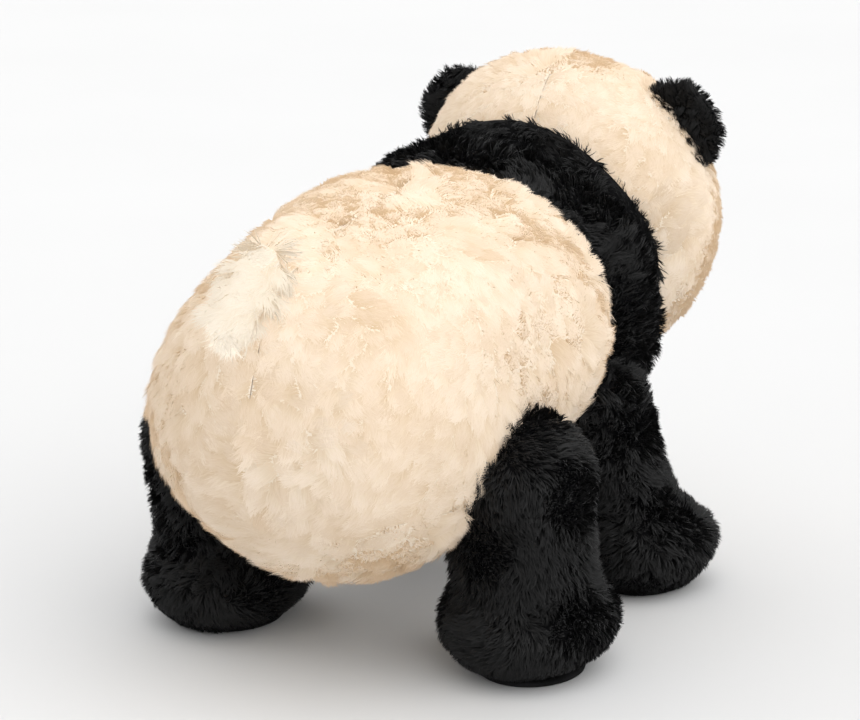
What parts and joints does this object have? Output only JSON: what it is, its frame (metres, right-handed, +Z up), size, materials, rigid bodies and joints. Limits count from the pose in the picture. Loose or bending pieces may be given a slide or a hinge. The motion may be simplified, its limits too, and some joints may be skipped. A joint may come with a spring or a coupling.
{
  "type": "plush panda",
  "caption": "Stuffed panda standing on four flat soles, with sewn plush covers over fibre filling, a turning head, swinging legs, soft ears and a flap tail.",
  "frame": {"origin": "on the ground, in the middle of the toy's length and width", "axes": "+Z up, -Y is the way the panda faces, +X is its own left side"},
  "size_m": [0.2666, 0.4339, 0.2879],
  "materials": {
    "cream_plush": "matte",
    "pale_plush": "matte",
    "muzzle_plush": "matte",
    "black_plush": "matte",
    "black_short_plush": "matte",
    "fibre_filling": "matte",
    "eye_plastic": "gloss",
    "nose_plastic": "satin",
    "washer_plastic": "satin",
    "black_thread": "satin"
  },
  "bodies": {
    "torso": {"back_panel_left": "cream_plush", "back_panel_right": "cream_plush", "belly_panel": "cream_plush", "shoulder_band": "black_plush", "chest_panel": "black_plush", "body_filling": "fibre_filling"},
    "tail_flap": {"tail": "pale_plush"},
    "neck": {"neck_filling": "fibre_filling"},
    "head": {"head_cover_left": "cream_plush", "head_cover_right": "cream_plush", "head_filling": "fibre_filling", "muzzle_cover": "muzzle_plush", "muzzle_filling": "fibre_filling", "nose": "nose_plastic", "mouth_stitch": "black_thread", "eye_left": "eye_plastic", "eye_left_washer": "washer_plastic", "eye_patch_left": "black_short_plush", "eye_right": "eye_plastic", "eye_right_washer": "washer_plastic", "eye_patch_right": "black_short_plush"},
    "ear_left": {"ear_left_front": "black_plush", "ear_left_back": "black_plush"},
    "ear_right": {"ear_right_front": "black_plush", "ear_right_back": "black_plush"},
    "rear_leg_left": {"rear_leg_left_cover": "black_plush", "rear_leg_left_sole": "black_plush", "rear_leg_left_filling": "fibre_filling"},
    "rear_leg_right": {"rear_leg_right_cover": "black_plush", "rear_leg_right_sole": "black_plush", "rear_leg_right_filling": "fibre_filling"},
    "front_leg_left": {"front_leg_left_cover": "black_plush", "front_leg_left_sole": "black_plush", "front_leg_left_filling": "fibre_filling"},
    "front_leg_right": {"front_leg_right_cover": "black_plush", "front_leg_right_sole": "black_plush", "front_leg_right_filling": "fibre_filling"}
  },
  "joints": [
    {"name": "rear_leg_left_swing", "type": "hinge", "parent": "torso", "child": "rear_leg_left", "pos_m": [0.086, 0.091, 0.1], "axis": [1, 0, 0], "range_deg": [-20, 20], "stiffness_Nm_per_rad": 3},
    {"name": "rear_leg_right_swing", "type": "hinge", "parent": "torso", "child": "rear_leg_right", "pos_m": [-0.086, 0.091, 0.1], "axis": [1, 0, 0], "range_deg": [-20, 20], "stiffness_Nm_per_rad": 3},
    {"name": "front_leg_left_swing", "type": "hinge", "parent": "torso", "child": "front_leg_left", "pos_m": [0.064, -0.035, 0.112], "axis": [1, 0, 0], "range_deg": [-20, 20], "stiffness_Nm_per_rad": 3},
    {"name": "front_leg_right_swing", "type": "hinge", "parent": "torso", "child": "front_leg_right", "pos_m": [-0.064, -0.035, 0.112], "axis": [1, 0, 0], "range_deg": [-20, 20], "stiffness_Nm_per_rad": 3},
    {"name": "head_turn", "type": "hinge", "parent": "torso", "child": "neck", "pos_m": [-0.01, -0.058, 0.17], "axis": [0, 0, 1], "range_deg": [-12, 12], "stiffness_Nm_per_rad": 2},
    {"name": "head_nod", "type": "hinge", "parent": "neck", "child": "head", "pos_m": [-0.01, -0.058, 0.17], "axis": [1, 0, 0], "range_deg": [-8, 12], "stiffness_Nm_per_rad": 3},
    {"name": "ear_left_flop", "type": "hinge", "parent": "head", "child": "ear_left", "pos_m": [0.05228, -0.118, 0.25146], "axis": [0.6018, 0, -0.7986], "range_deg": [-20, 40], "stiffness_Nm_per_rad": 0.05},
    {"name": "ear_right_flop", "type": "hinge", "parent": "head", "child": "ear_right", "pos_m": [-0.09228, -0.118, 0.25146], "axis": [0.6018, 0, 0.7986], "range_deg": [-20, 40], "stiffness_Nm_per_rad": 0.05},
    {"name": "tail_lift", "type": "hinge", "parent": "torso", "child": "tail_flap", "pos_m": [0.008, 0.168, 0.228], "axis": [1, 0, 0], "range_deg": [0, 35], "stiffness_Nm_per_rad": 0.05}
  ]
}
